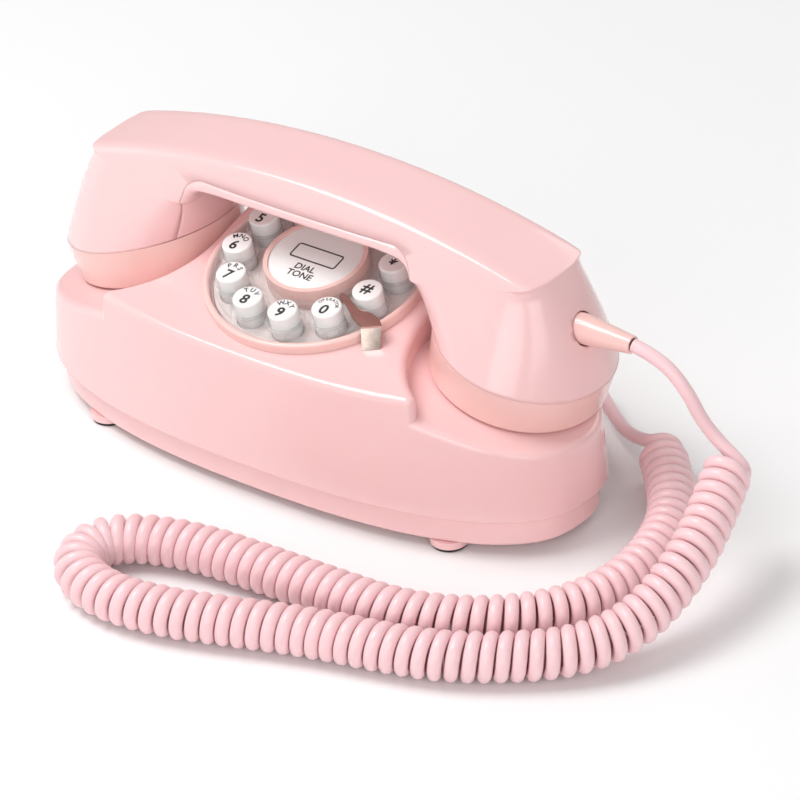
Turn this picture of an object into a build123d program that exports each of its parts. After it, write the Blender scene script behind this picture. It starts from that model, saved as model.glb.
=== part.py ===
from build123d import *
from math import cos, pi, radians, sin, tan
import os

# Compact bedroom telephone: an oval base with a ring of push keys, and a handset across it.
# Millimetres. The origin is on the table under the middle of the base, +X runs along the
# handset towards its cord, +Z is up and -Y is the front.

os.makedirs("parts", exist_ok=True)

# Base
base_half_length = 107.4
base_half_depth = 44.8
plan_power = 2.4  # 2 would make the plan an ellipse
draft = 0.07  # how much the walls lean in for each millimetre of height
wall = 2.4
rim_z = 13.8  # where the housing ends and the pan shows
crease_radius = 2.5
pan_inset = 3.6
pan_z = 3.6
pan_floor = 2.0
pan_top = 17.0
gap = 0.3  # between pieces that only stand next to each other
block_top = 85.0  # above the whole deck, which then cuts the plan block off

# Dial, whose plane is the top of the clear plate's rim
dial_y = 0.2
dial_z = 68.0
dial_tilt = 13.2
deck_drop = 4.2  # the deck lies this far under the dial's plane
deck_hole = 36.0
plate_radius = 36.4
bezel_radius = 38.9
hub_radius = 17.6
card_radius = 16.0
key_circle = 28.2
key_radius = 5.1
key_top = 5.5
key_foot = -7.7
key_flange = 6.4
key_travel = 1.4
key_edge = 0.7
first_key_turn = 43.7  # key 1; the others follow every 30 degrees
key_names = ["1", "2", "3", "4", "5", "6", "7", "8", "9", "0", "hash", "star"]

# Handset and the cradles that it lies in
handset_y = 9.2
cap_x = 76.8
seam_z = 59.0
seam_radius = 30.7
cap_tilt = 15.2
cap_height = 14.0
cap_bottom_radius = 29.5
cap_wall = 2.2
cap_bore = 26.0
ledge_gap = 0.5
scoop_x = 84.1
scoop_radius = 39.9
scoop_spread = 15.8
top_z = 102.0
arch_radius = 326
handle_half_width = 15.2
side_slope = 0.48  # how fast the handle's sides widen downwards
bar_half_length = 50.0
inner_corner = 33  # degrees: where the legs' inner edges start on the round seam
outer_corner = 45
handle_bottom = 88.0
parting_z = 92.3  # where the shell meets the grip cover under the handle
parting_half = 43.7  # half length of the parting line at that height
parting_slope = 0.345
grip_rounding = 8.0
shell_wall = 2.4
boot_z = 70.9
boot_root_x = 100.6
boot_tip_x = 118.4
boot_radius = 5.0

# Hook switch, sockets and curly cord
plunger_radius = 2.8
plunger_travel = 4.0
socket_x = 54.0
socket_z = 20.0
socket_size = (13.6, 14.0, 11.6)
wire = 4.6
coil_diameter = 16.6

dial = Plane(
    origin=(0, dial_y, dial_z),
    x_dir=(1, 0, 0),
    z_dir=(0, -sin(radians(dial_tilt)), cos(radians(dial_tilt))),
)
dial_axis = Axis((0, 0, 0), dial.z_dir)
sides = {"left": -1, "right": 1}


def finish(part, name):
    """Labels a finished piece and writes it."""
    part.label = name
    export_step(part, f"parts/{name}.step")


def cap_plane(side, drop):
    """The plane across a cap, that far under its seam; side is -1 at the left, 1 at the right."""
    lean = radians(cap_tilt) * side
    up = Vector(sin(lean), 0, cos(lean))
    return Plane(
        origin=Vector(side * cap_x, handset_y, seam_z) - up * drop,
        x_dir=(cos(lean), 0, -sin(lean)),
        z_dir=up,
    )


def key_spots():
    """Where the keys stand on the dial, key 1 first."""
    return PolarLocations(key_circle, len(key_names), start_angle=first_key_turn)


def plan_point(turn, inset):
    """A point of the base's plan, which is a superellipse."""
    c = cos(radians(turn))
    s = sin(radians(turn))
    x = (base_half_length - inset) * abs(c) ** (2 / plan_power)
    y = (base_half_depth - inset) * abs(s) ** (2 / plan_power)
    return (x if c > 0 else -x, y if s > 0 else -y)


def plan_block(low, high, inset):
    """A block with the base's plan, that far inside it, whose walls lean in from the rim upwards."""
    with BuildPart() as block:
        for height in (low, high):
            with BuildSketch(Plane.XY.offset(height)):
                with BuildLine():
                    lean = inset + draft * (height - rim_z)
                    Spline(*[plan_point(turn, lean) for turn in range(0, 360, 15)], periodic=True)
                make_face()
        loft(ruled=True)
    return block.part


def plan_depth(x):
    """Half of the base's depth at x."""
    return base_half_depth * (1 - (abs(x) / base_half_length) ** plan_power) ** (1 / plan_power)


def disc(plane, radius, height, inner=0.0):
    """A disc or a ring that stands on a plane."""
    with BuildPart() as ring:
        with BuildSketch(plane):
            Circle(radius)
            if inner:
                Circle(inner, mode=Mode.SUBTRACT)
        extrude(amount=height)
    return ring.part


# Base housing: the plan block under the tilted deck, with a scoop for each end of the handset


def cradle_scoop(side, inset):
    """What a cradle takes out of the base: an upright slot down to the tilted ledge."""
    with BuildPart() as scoop:
        with BuildSketch(Plane.XY.offset(socket_z)):
            with Locations((side * scoop_x, handset_y)):
                SlotCenterToCenter(scoop_spread, 2 * (scoop_radius + inset), rotation=90)
        extrude(amount=block_top)
        split(bisect_by=cap_plane(side, cap_height + ledge_gap + inset), keep=Keep.TOP)
    return scoop.part


def base_form(low, inset):
    """The base's solid shape above a height, shrunk by inset everywhere."""
    with BuildPart() as form:
        add(plan_block(low, block_top, inset))
        split(bisect_by=dial.offset(-deck_drop - inset), keep=Keep.BOTTOM)
        for side in (-1, 1):
            add(cradle_scoop(side, inset), mode=Mode.SUBTRACT)
    return form.part


def is_crease(edge):
    """Whether an edge is an outer one above the rim, and not where a scoop's wall meets its ledge."""
    middle = edge.position_at(0.5)
    ledge = cap_plane(1 if middle.X > 0 else -1, cap_height + ledge_gap)
    on_ledge = abs(ledge.to_local_coords(middle).Z) < 0.01
    return middle.Z > rim_z + 1 and not (on_ledge and abs(middle.X) < scoop_x - scoop_radius / 2)


rim_radius = 0.8
lip_height = 3.0  # of the thicker rim that the pan sits in
screw_x = 52.0
screw_y = 18.0
boss_radius = 4.0
screw_radius = 1.25

with BuildPart() as bosses:
    with BuildSketch(Plane.XY.offset(pan_z + pan_floor + gap)):
        with GridLocations(2 * screw_x, 2 * screw_y, 2, 2):
            Circle(boss_radius)
            Circle(screw_radius + 0.05, mode=Mode.SUBTRACT)
    extrude(amount=block_top)
    add(base_form(pan_z, wall / 2), mode=Mode.INTERSECT)

with BuildPart() as base_housing:
    add(base_form(rim_z, 0))
    fillet(base_housing.edges().filter_by(is_crease), crease_radius)
    fillet(base_housing.edges().group_by(Axis.Z)[0], rim_radius)
    add(base_form(rim_z + lip_height, wall), mode=Mode.SUBTRACT)
    add(plan_block(rim_z - 1, rim_z + lip_height + 1, pan_inset - gap), mode=Mode.SUBTRACT)
    add(disc(dial.offset(-deck_drop - 6), deck_hole, 12), mode=Mode.SUBTRACT)
    for side in (-1, 1):
        with BuildSketch(cap_plane(side, cap_height - 2)):
            Circle(plunger_radius + gap)
        extrude(amount=-10, mode=Mode.SUBTRACT)
        with Locations((side * socket_x, plan_depth(socket_x), socket_z)):
            Box(socket_size[0] + 2 * gap, 12, socket_size[2] + 2 * gap, mode=Mode.SUBTRACT)
    add(bosses.part)
finish(base_housing.part, "base_housing")

# Base pan, its feet and screws

foot_x = 71.0
foot_y = 28.5
foot_radius = 6.5
pad_height = 1.2
switch_slot = (14.0, 5.0)
switch_x = -3.0  # the ringer switch's quiet end
ringer_x = -72.0

with BuildPart() as base_pan:
    add(plan_block(pan_z, pan_top, pan_inset))
    fillet(base_pan.faces().sort_by(Axis.Z)[0].edges(), 1.0)
    add(plan_block(pan_z + pan_floor, pan_top + 1, pan_inset + pan_floor), mode=Mode.SUBTRACT)
    with GridLocations(2 * screw_x, 2 * screw_y, 2, 2):
        Cylinder(screw_radius + 0.55, 20, mode=Mode.SUBTRACT)
    with Locations((0, 0, pan_z)):
        Box(*switch_slot, 10, mode=Mode.SUBTRACT)
    with BuildSketch(Plane.XY.offset(pan_z)):
        with Locations((ringer_x, 0)):
            with PolarLocations(6, 6):
                Circle(1.1)
            Circle(1.1)
    extrude(amount=pan_floor, mode=Mode.SUBTRACT)
    for side in (-1, 1):
        with Locations((side * socket_x, plan_depth(socket_x), socket_z)):
            Box(socket_size[0] + 4 * gap, 30, socket_size[2] + 4 * gap, mode=Mode.SUBTRACT)
finish(base_pan.part, "base_pan")

with BuildPart() as foot_discs:
    with BuildSketch(Plane.XY.offset(pad_height)):
        with GridLocations(2 * foot_x, 2 * foot_y, 2, 2):
            Circle(foot_radius)
    extrude(amount=pan_z - pad_height)
finish(foot_discs.part, "foot_discs")

with BuildPart() as foot_pads:
    with BuildSketch():
        with GridLocations(2 * foot_x, 2 * foot_y, 2, 2):
            Circle(foot_radius - 0.6)
    extrude(amount=pad_height)
finish(foot_pads.part, "foot_pads")

with BuildPart() as pan_screws:
    with BuildSketch(Plane.XY.offset(pan_z - 1.6)):
        with GridLocations(2 * screw_x, 2 * screw_y, 2, 2):
            Circle(3.0)
    extrude(amount=1.5)
    with BuildSketch(Plane.XY.offset(pan_z - 0.2)):
        with GridLocations(2 * screw_x, 2 * screw_y, 2, 2):
            Circle(screw_radius)
    extrude(amount=10)
finish(pan_screws.part, "pan_screws")

# Dial: bezel, faceplate, clear plate with a well round each key, hub with its card

faceplate_top = -4.1
faceplate_thick = 2.0
plate_bottom = -3.9
plate_sheet = 1.5
well_radius = 6.8
well_bore = 5.5

with BuildPart() as dial_bezel:
    with BuildSketch(dial.offset(-deck_drop + 0.05)):
        Circle(bezel_radius)
        Circle(plate_radius + gap, mode=Mode.SUBTRACT)
    extrude(amount=3.5)
    fillet(dial_bezel.edges().sort_by(dial_axis)[-2:], 0.9)
finish(dial_bezel.part, "dial_bezel")

with BuildPart() as dial_faceplate:
    with BuildSketch(dial.offset(faceplate_top - faceplate_thick)):
        Circle(deck_hole - gap)
        with key_spots():
            Circle(well_bore, mode=Mode.SUBTRACT)
    extrude(amount=faceplate_thick)
finish(dial_faceplate.part, "dial_faceplate")

with BuildPart() as clear_plate:
    with BuildSketch(dial.offset(plate_bottom)):
        Circle(plate_radius)
        Circle(hub_radius + gap, mode=Mode.SUBTRACT)
    extrude(amount=plate_sheet)
    with BuildSketch(dial.offset(plate_bottom)):
        Circle(plate_radius)
        Circle(plate_radius - 1.6, mode=Mode.SUBTRACT)
        Circle(hub_radius + 2.2)
        Circle(hub_radius + gap, mode=Mode.SUBTRACT)
    extrude(amount=-plate_bottom)
    with BuildSketch(dial.offset(plate_bottom)):
        with key_spots():
            Circle(well_radius)
    extrude(amount=-plate_bottom + 0.8)
    with BuildSketch(dial.offset(plate_bottom)):
        with key_spots():
            Circle(well_bore)
    extrude(amount=8, mode=Mode.SUBTRACT)
finish(clear_plate.part, "clear_plate")

card_floor = 2.9
hub_top = 3.9

with BuildPart() as hub_ring:
    with BuildSketch(dial.offset(faceplate_top)):
        Circle(hub_radius)
    extrude(amount=hub_top - faceplate_top)
    with BuildSketch(dial.offset(card_floor)):
        Circle(card_radius + 0.1)
    extrude(amount=2, mode=Mode.SUBTRACT)
    with BuildSketch(dial.offset(faceplate_top)):
        Circle(hub_radius - 2)
    extrude(amount=card_floor - 1.5 - faceplate_top, mode=Mode.SUBTRACT)
finish(hub_ring.part, "hub_ring")

finish(disc(dial.offset(card_floor), card_radius, 0.3), "number_card")
finish(disc(dial.offset(card_floor + 0.35), card_radius, 0.5), "card_window")

# Finger stop: a metal strip between the last two keys, bent down over the bezel

stop_low = 2.0
stop_thick = 0.8
stop_fold = [(33.0, -20.9), (38.9, -17.5)]  # the two ends of the bend, on the dial
stop_foot = [(34.6, -24.3), (39.6, -21.3)]
fold_outside = [(39.35, -18.3), (33.45, -21.7)]  # the same bend on the strip's other face
foot_outside = [(40.05, -22.1), (35.05, -25.1)]

with BuildPart() as finger_stop:
    with BuildSketch(dial.offset(stop_low)):
        with BuildLine():
            Spline((18.2, -12.1), (22.0, -14.4), (26.9, -17.9), stop_fold[0])
            Line(stop_fold[0], stop_fold[1])
            Spline(stop_fold[1], (32.6, -14.6), (26.6, -13.8), (21.4, -11.4), (17.9, -10.4))
            Line((17.9, -10.4), (18.2, -12.1))
        make_face()
    extrude(amount=stop_thick)
    with BuildSketch(dial.offset(stop_low)):
        Polygon(*stop_fold, *fold_outside, align=None)
    with BuildSketch(dial.offset(faceplate_top + 0.05)):
        Polygon(*stop_foot, *foot_outside, align=None)
    loft(ruled=True)
    with BuildSketch(dial.offset(stop_low)):
        Polygon(*stop_fold, *fold_outside, align=None)
    extrude(amount=stop_thick)
finish(finger_stop.part, "finger_stop")

# Keys and what they press

with BuildPart() as key:
    with BuildSketch(dial.offset(key_foot)):
        Circle(key_flange)
    extrude(amount=1.5)
    with BuildSketch(dial.offset(key_foot)):
        Circle(key_radius)
    extrude(amount=key_top - key_foot)
    fillet(key.faces().sort_by(dial_axis)[-1].edges(), key_edge)

for name, spot in zip(key_names, key_spots()):
    offset_on_dial = dial.x_dir * spot.position.X + dial.y_dir * spot.position.Y
    finish(key.part.moved(Location(offset_on_dial)), f"key_{name}")

frame_top = faceplate_top - faceplate_thick - 0.1
frame_low = -10.2
membrane_low = -11.3
dome_top = key_foot - key_travel - 0.25
board_low = -13.0

with BuildPart() as keypad_frame:
    with BuildSketch(dial.offset(frame_low)):
        Circle(deck_hole + 3)
        with key_spots():
            Circle(key_flange + gap, mode=Mode.SUBTRACT)
    extrude(amount=frame_top - frame_low)
    with BuildSketch(dial.offset(-7.0)):
        Circle(deck_hole + 4)
        Circle(deck_hole - gap, mode=Mode.SUBTRACT)
    extrude(amount=3, mode=Mode.SUBTRACT)
    add(plan_block(rim_z, block_top, wall + gap), mode=Mode.INTERSECT)
finish(keypad_frame.part, "keypad_frame")

with BuildPart() as key_membrane:
    with BuildSketch(dial.offset(membrane_low)):
        Circle(deck_hole)
    extrude(amount=1.0)
    with BuildSketch(dial.offset(membrane_low)):
        with key_spots():
            Circle(3.4)
    extrude(amount=dome_top - membrane_low)
finish(key_membrane.part, "key_membrane")

finish(disc(dial.offset(board_low), deck_hole, 1.6), "keypad_board")

# Hook switch: a plunger through each ledge, and the switch that it works

plunger_length = 13.0

for name, side in sides.items():
    with BuildPart() as plunger:
        with BuildSketch(cap_plane(side, cap_height + gap)):
            Circle(plunger_radius)
        extrude(amount=-plunger_length)
        fillet(plunger.edges().sort_by(Axis.Z)[-1:], 0.8)
        with BuildSketch(cap_plane(side, cap_height + ledge_gap + wall + plunger_travel + 1)):
            Circle(plunger_radius + 1.4)
        extrude(amount=-1.2)
    finish(plunger.part, f"hook_plunger_{name}")

with BuildPart() as hook_switches:
    for side in sides.values():
        with BuildSketch(cap_plane(side, cap_height + plunger_length + 3 * gap)):
            Rectangle(13, 7)
        extrude(amount=-7)
finish(hook_switches.part, "hook_switches")

# Inside the base

board_z = 19.0
board_thick = 1.6
board_size = (88.0, 56.0)
board_holes = (80.0, 48.0)
post_radius = 2.8

with BuildPart() as main_board:
    with BuildSketch(Plane.XY.offset(board_z)):
        Rectangle(*board_size)
    extrude(amount=board_thick)
    with BuildSketch(Plane.XY.offset(board_z)):
        with Locations((-22, 6)):
            Rectangle(16, 8)
        with Locations((10, -10)):
            Rectangle(10, 10)
        with Locations((30, 12)):
            Circle(4)
    extrude(amount=6)
    with GridLocations(*board_holes, 2, 2):
        Cylinder(1.6, 60, mode=Mode.SUBTRACT)
finish(main_board.part, "main_board")

with BuildPart() as board_screws:
    with BuildSketch(Plane.XY.offset(pan_z + pan_floor)):
        with GridLocations(*board_holes, 2, 2):
            Circle(1.5)
    extrude(amount=board_z + board_thick + 1.2 - pan_z - pan_floor)
    with BuildSketch(Plane.XY.offset(board_z + board_thick + 0.1)):
        with GridLocations(*board_holes, 2, 2):
            Circle(post_radius)
    extrude(amount=1.8)
    with BuildSketch(Plane.XY.offset(pan_z + pan_floor)):
        with GridLocations(*board_holes, 2, 2):
            Circle(post_radius)
    extrude(amount=board_z - 0.1 - pan_z - pan_floor)
finish(board_screws.part, "board_screws")

with BuildPart() as base_weight:
    with BuildSketch(Plane.XY.offset(pan_z + pan_floor + 0.05)):
        with Locations((14, 0)):
            RectangleRounded(60, 36, 4)
            Rectangle(60, 8, mode=Mode.SUBTRACT)
        with Locations((36, 0)):
            Rectangle(8, 36)
    extrude(amount=5)
finish(base_weight.part, "base_weight")

with BuildPart() as ringer:
    with BuildSketch(Plane.XY.offset(pan_z + pan_floor + 0.05)):
        with Locations((ringer_x, 0)):
            Circle(14)
    extrude(amount=8)
    fillet(ringer.faces().sort_by(Axis.Z)[-1].edges(), 1.5)
finish(ringer.part, "ringer")

with BuildPart() as ringer_switch:
    with BuildSketch(Plane.XY.offset(pan_z - 1.5)):
        with Locations((switch_x, 0)):
            Rectangle(3.6, 3.6)
    extrude(amount=3.8)
    with BuildSketch(Plane.XY.offset(pan_z + pan_floor + gap)):
        with Locations((switch_x, 0)):
            Rectangle(4.4, 6.4)
    extrude(amount=1.6)
finish(ringer_switch.part, "ringer_switch")

# Sockets in the back, for the handset's cord and for the line

socket_inset = 1.2
jack_depth = 10.0

for name, side in (("line_socket", -1), ("handset_socket", 1)):
    back = plan_depth(socket_x) - socket_inset
    with BuildPart() as socket:
        with Locations((side * socket_x, back - socket_size[1] / 2, socket_z)):
            Box(*socket_size)
        with Locations((side * socket_x, back - jack_depth / 2, socket_z)):
            Box(8.2, jack_depth + 0.02, 7.0, mode=Mode.SUBTRACT)
    finish(socket.part, name)

# Handset: one outer form, shared by the shell and the grip cover under the handle


def seam_arcs(side):
    """The round seam's four arcs, each with the turns that it runs between."""
    right = outer_corner if side > 0 else inner_corner
    left = inner_corner if side > 0 else outer_corner
    corners = [right, 180 - left, 180 + left, 360 - right, 360 + right]
    return zip(corners, corners[1:])


def handset_end(side, shrink):
    """One end of the handset: from the round seam up to the flat top."""
    with BuildPart() as end:
        with BuildSketch(cap_plane(side, 0)) as seam:
            with BuildLine():
                for turn, next_turn in seam_arcs(side):
                    CenterArc((0, 0), seam_radius - shrink, turn, next_turn - turn)
            make_face()
        slant = Plane(
            origin=(side * 68.0, handset_y, 97.5 - shrink),
            x_dir=(1, 0, -side * 0.235),
            z_dir=(side * 0.235, 0, 1),
        )
        with BuildSketch(slant) as top:
            Rectangle(48 - 2 * shrink, 2 * (handle_half_width - shrink))
        loft([seam.sketch, top.sketch], ruled=True)
    return end.part


def handset_form(shrink):
    """The handset's solid shape above its seams, shrunk by that much everywhere."""
    half = handle_half_width - shrink
    low = handle_bottom + shrink
    flare = side_slope * (top_z - low)
    arch_centre = top_z - arch_radius
    half_turn = bar_half_length / arch_radius * 180 / pi
    with BuildPart() as bar:
        with BuildSketch(Plane.YZ):
            with Locations((handset_y, 0)):
                Polygon(
                    (-half, top_z - shrink),
                    (half, top_z - shrink),
                    (half + flare, low),
                    (-half - flare, low),
                    align=None,
                )
        revolve(axis=Axis((0, 0, arch_centre), (0, 1, 0)), revolution_arc=half_turn)
        mirror(about=Plane.YZ)
    with BuildPart() as form:
        for side in sides.values():
            add(handset_end(side, shrink))
        add(bar.part)
        with BuildSketch(Plane.XZ.offset(-60)):
            with Locations((0, arch_centre)):
                Circle(arch_radius - shrink)
        extrude(amount=120, mode=Mode.INTERSECT)
    return form.part


def grip_zone(grow):
    """The upright slab under the handle's parting line, that much larger."""
    low = 45
    reach = parting_half + parting_slope * (parting_z - low)
    with BuildPart() as zone:
        with BuildSketch(Plane.XZ.offset(-60)):
            Polygon(
                (-reach - grow, low),
                (reach + grow, low),
                (parting_half + grow, parting_z + grow),
                (-parting_half - grow, parting_z + grow),
                align=None,
            )
            fillet(vertices().sort_by(Axis.Y)[-2:], grip_rounding)
        extrude(amount=120)
    return zone.part


grip_screw_spots = [(-30.0, handset_y), (30.0, handset_y)]

with BuildPart() as handset_shell:
    add(handset_form(0))
    add(handset_form(shell_wall), mode=Mode.SUBTRACT)
    add(grip_zone(0.1), mode=Mode.SUBTRACT)
    with BuildSketch(Plane.YZ.offset(85)):
        with Locations((handset_y, boot_z)):
            Circle(boot_radius + gap)
    extrude(amount=30, mode=Mode.SUBTRACT)
finish(handset_shell.part, "handset_shell")

with BuildPart() as handset_grip_cover:
    add(handset_form(0))
    add(grip_zone(0), mode=Mode.INTERSECT)
    add(handset_form(shell_wall), mode=Mode.SUBTRACT)
    with BuildSketch(Plane.XY.offset(handle_bottom - 1)):
        with Locations(*grip_screw_spots):
            Circle(2.8)
    extrude(amount=3, mode=Mode.SUBTRACT)
    with BuildSketch(Plane.XY.offset(handle_bottom - 1)):
        with Locations(*grip_screw_spots):
            Circle(1.5)
    extrude(amount=9, mode=Mode.SUBTRACT)
finish(handset_grip_cover.part, "handset_grip_cover")

with BuildPart() as handset_screws:
    with BuildSketch(Plane.XY.offset(handle_bottom + 0.6)):
        with Locations(*grip_screw_spots):
            Circle(2.5)
    extrude(amount=1.3)
    with BuildSketch(Plane.XY.offset(handle_bottom + 0.6)):
        with Locations(*grip_screw_spots):
            Circle(1.4)
    extrude(amount=5)
finish(handset_screws.part, "handset_screws")

with BuildPart() as handset_weight:
    with Locations((0, handset_y, parting_z + 2.6)):
        Box(48, 22, 4)
finish(handset_weight.part, "handset_weight")

# Caps, each a cup with sound holes, and the capsule that it holds

hole_rings = {  # the side of each cap, and the radius and the count of each ring of holes
    "mouthpiece_cap": (1, [(0, 1), (5, 6), (10, 12)]),
    "earpiece_cap": (-1, [(0, 1), (4.5, 6), (9, 12), (13.5, 18)]),
}

hole_radius = 0.9
cap_edge = 1.2

for name, (side, rings) in hole_rings.items():
    cap_axis = Axis((0, 0, 0), cap_plane(side, 0).z_dir)
    with BuildPart() as cap:
        with BuildSketch(cap_plane(side, 0.1)):
            Circle(seam_radius)
        with BuildSketch(cap_plane(side, cap_height)):
            Circle(cap_bottom_radius)
        loft()
        fillet(cap.edges().filter_by(GeomType.CIRCLE).sort_by(cap_axis)[:1], cap_edge)
        with BuildSketch(cap_plane(side, cap_height - cap_wall)):
            Circle(cap_bore)
        extrude(amount=cap_height, mode=Mode.SUBTRACT)
        with BuildSketch(cap_plane(side, 1.0)):
            Circle(seam_radius - shell_wall - 0.8)
            Circle(cap_bore, mode=Mode.SUBTRACT)
        extrude(amount=2.0)
        with BuildSketch(cap_plane(side, cap_height + 1)):
            for ring_radius, count in rings:
                with PolarLocations(ring_radius, count):
                    Circle(hole_radius)
        extrude(amount=4, mode=Mode.SUBTRACT)
    finish(cap.part, name)

capsule_plane_drop = cap_height - cap_wall - gap
finish(disc(cap_plane(-1, capsule_plane_drop), 20, 9), "receiver_capsule")
finish(disc(cap_plane(1, capsule_plane_drop), 14, 7), "microphone_capsule")

# The cord: a boot in the handset, a lead, the long curly stretch, and a lead with a plug

flange_x = 91.0  # inside the handset's end wall
boot_bore_depth = 6.0

with BuildPart() as cord_boot:
    with BuildSketch(Plane.YZ.offset(flange_x)):
        with Locations((handset_y, boot_z)):
            Circle(boot_radius + 1.8)
    extrude(amount=2)
    with BuildSketch(Plane.YZ.offset(flange_x)):
        with Locations((handset_y, boot_z)):
            Circle(boot_radius)
    extrude(amount=boot_root_x - flange_x)
    with BuildSketch(Plane.YZ.offset(boot_root_x)):
        with Locations((handset_y, boot_z)):
            Circle(boot_radius)
    with BuildSketch(Plane.YZ.offset(boot_tip_x)):
        with Locations((handset_y, boot_z)):
            Circle(3.0)
    loft()
    with BuildSketch(Plane.YZ.offset(boot_tip_x - boot_bore_depth)):
        with Locations((handset_y, boot_z)):
            Circle(wire / 2)
    extrude(amount=boot_bore_depth, mode=Mode.SUBTRACT)
finish(cord_boot.part, "cord_boot")

socket_mouth = plan_depth(socket_x)
plug_end = socket_mouth + 9

with BuildPart() as cord_plug:
    with Locations((socket_x, socket_mouth - 1.3, socket_z)):
        Box(7.6, 16.6, 6.4)
    with Locations((socket_x, socket_mouth + 4, socket_z)):
        Box(9.4, 10, 8.0)
    fillet(cord_plug.edges().filter_by(Axis.Y).group_by(Axis.Y)[-1], 1.2)
finish(cord_plug.part, "cord_plug")

lead_route = [
    (boot_tip_x + gap, handset_y, boot_z),
    (129.5, 9.3, 69),
    (138.5, 9.8, 60),
    (142.5, 11.5, 50),
    (148.5, 13.2, 42.3),
    (157.7, 10.9, 41),
]
coil_route = [
    (153.5, 11, 37.2),
    (158.5, -6, 31),
    (161.5, -24, 24.5),
    (160.8, -40, 17.5),
    (156.5, -55, 12),
    (146, -69, 9),
    (131, -81, 8.6),
    (114, -91.5, 8.6),
    (95, -97.5, 8.6),
    (72, -103, 8.6),
    (48, -111.5, 8.6),
    (26, -119.5, 8.6),
    (4, -122.5, 8.6),
    (-13.5, -116.5, 8.6),
    (-18.5, -102.5, 8.6),
    (-9.5, -91.5, 8.6),
    (10, -85, 8.6),
    (35, -83, 8.6),
    (62, -82, 8.6),
    (88, -80.5, 8.6),
    (108, -73, 8.6),
    (124, -61, 8.6),
    (135, -45, 8.6),
    (139, -26, 8.6),
    (137.5, -7, 8.6),
    (131, 12, 8.6),
    (119, 29, 8.6),
    (106, 43, 8.6),
]
plug_lead_route = [
    (socket_x, plug_end, socket_z),
    (54.3, 58.5, 19.8),
    (60, 65.5, 14.5),
    (69.5, 61.5, 9),
    (80, 54, 7.5),
    (90, 46.8, 8),
    (101.6, 38.9, 8.6),
]


def bend_radii(route):
    """The largest tangent arc that each corner of a route has room for."""
    radii = []
    for before, at, after in zip(route, route[1:], route[2:]):
        run_in = Vector(*at) - Vector(*before)
        run_out = Vector(*after) - Vector(*at)
        half_turn = radians(run_in.get_angle(run_out)) / 2
        radii.append(0.45 * min(run_in.length, run_out.length) / tan(half_turn))
    return radii


for name, route, diameter in (
    ("handset_lead", lead_route, wire),
    ("cord_coil", coil_route, coil_diameter),
    ("plug_lead", plug_lead_route, wire),
):
    radii = bend_radii(route)
    with BuildPart() as tube:
        with BuildLine() as path:
            FilletPolyline(*route, radius=radii)
        with BuildSketch(Plane(origin=path.line @ 0, z_dir=path.line % 0)):
            Circle(diameter / 2)
        sweep()
    length = path.wires()[0].length
    expected = pi * diameter**2 / 4 * length
    print(name, "radii", [round(radius, 1) for radius in radii])
    print(name, "length", round(length, 1))
    print(name, "volume over section times length", round(tube.part.volume / expected, 4))
    finish(tube.part, name)
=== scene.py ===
import math
import bpy
import bmesh
from mathutils import Matrix, Vector


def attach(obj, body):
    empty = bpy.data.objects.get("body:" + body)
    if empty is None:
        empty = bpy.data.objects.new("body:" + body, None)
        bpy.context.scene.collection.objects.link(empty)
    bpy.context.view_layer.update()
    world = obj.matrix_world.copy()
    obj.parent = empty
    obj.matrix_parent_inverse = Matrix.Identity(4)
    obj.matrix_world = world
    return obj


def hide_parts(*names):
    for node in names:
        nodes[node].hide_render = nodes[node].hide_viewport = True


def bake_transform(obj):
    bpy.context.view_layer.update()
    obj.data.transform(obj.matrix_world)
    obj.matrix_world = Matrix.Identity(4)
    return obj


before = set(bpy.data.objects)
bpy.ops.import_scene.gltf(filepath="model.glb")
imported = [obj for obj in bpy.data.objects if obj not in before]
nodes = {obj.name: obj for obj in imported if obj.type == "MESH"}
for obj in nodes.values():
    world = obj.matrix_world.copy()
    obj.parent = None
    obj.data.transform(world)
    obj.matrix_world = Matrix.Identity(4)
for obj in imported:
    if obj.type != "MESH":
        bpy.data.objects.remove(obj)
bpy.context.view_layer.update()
mm = 0.001
weldGap = 1e-6
printWeldGap = 1e-7
print("frame loaded:", len(nodes), "nodes")


def clamp(value, low, high):
    return max(low, min(high, value))


def mix(a, b, t):
    return a + (b - a) * t


def smooth(t):
    t = clamp(t, 0.0, 1.0)
    return t * t * (3 - 2 * t)


def linked(name, data):
    obj = bpy.data.objects.new(name, data)
    bpy.context.scene.collection.objects.link(obj)
    return obj


def meshFrom(name, verts, faces, material, sharp):
    mesh = bpy.data.meshes.new(name)
    mesh.from_pydata([tuple(v) for v in verts], [], faces)
    mesh.validate()
    obj = linked(name, mesh)
    mesh.materials.append(material)
    finishMesh(obj, sharp)
    return obj


def finishMesh(obj, sharp=None):
    mesh = obj.data
    work = bmesh.new()
    work.from_mesh(mesh)
    bmesh.ops.remove_doubles(work, verts=work.verts, dist=weldGap)
    bmesh.ops.recalc_face_normals(work, faces=work.faces)
    work.to_mesh(mesh)
    work.free()
    mesh.polygons.foreach_set("use_smooth", [True] * len(mesh.polygons))
    if sharp is not None:
        mesh.set_sharp_from_angle(angle=math.radians(sharp))
    mesh.update()


def evaluatedMesh(obj):
    bpy.context.view_layer.update()
    depsgraph = bpy.context.evaluated_depsgraph_get()
    return bpy.data.meshes.new_from_object(obj.evaluated_get(depsgraph), depsgraph=depsgraph)


def applied(obj):
    # the same object as a plain mesh, with no modifiers left
    mesh = evaluatedMesh(obj)
    old = obj.data
    obj.modifiers.clear()
    obj.data = mesh
    if old.users == 0:
        bpy.data.meshes.remove(old)
    return obj


def newMaterial(name):
    material = bpy.data.materials.new(name)
    material.use_nodes = True
    tree = material.node_tree
    shader = tree.nodes["Principled BSDF"]
    return material, tree, shader


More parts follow.
